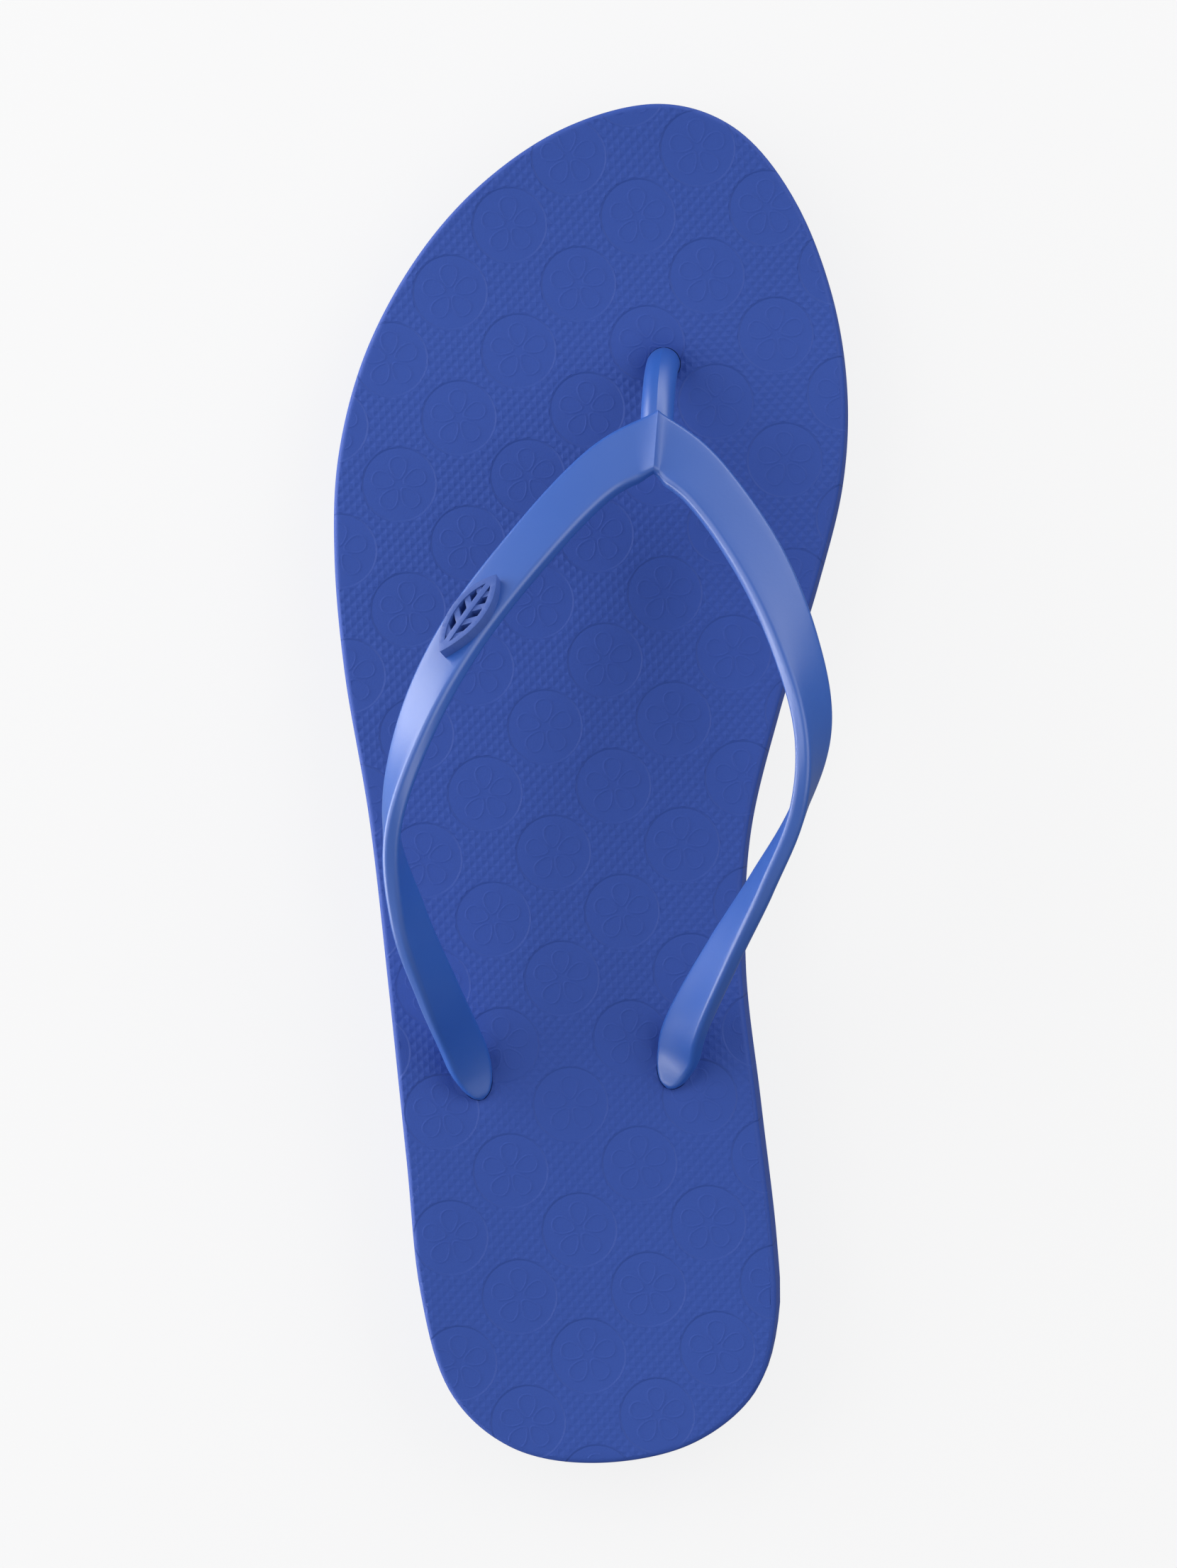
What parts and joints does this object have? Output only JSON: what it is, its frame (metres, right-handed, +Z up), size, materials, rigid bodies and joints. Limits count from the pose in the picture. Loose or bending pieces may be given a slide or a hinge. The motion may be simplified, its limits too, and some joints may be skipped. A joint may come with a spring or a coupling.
{
  "type": "flip flop",
  "caption": "Left flip flop with a contoured foam sole and a slim twisted thong strap that carries a small openwork leaf badge.",
  "frame": {"origin": "middle of the sole's bounding box, on the floor", "axes": "+Y from heel to toe, +X towards the inner (big toe) side, +Z up"},
  "size_m": [0.0951, 0.25, 0.0605],
  "materials": {
    "sole_foam": "matte",
    "strap_vinyl": "satin",
    "badge_vinyl": "matte"
  },
  "bodies": {
    "root": {"sole": "sole_foam", "strap": "strap_vinyl", "badge": "badge_vinyl"}
  },
  "joints": []
}
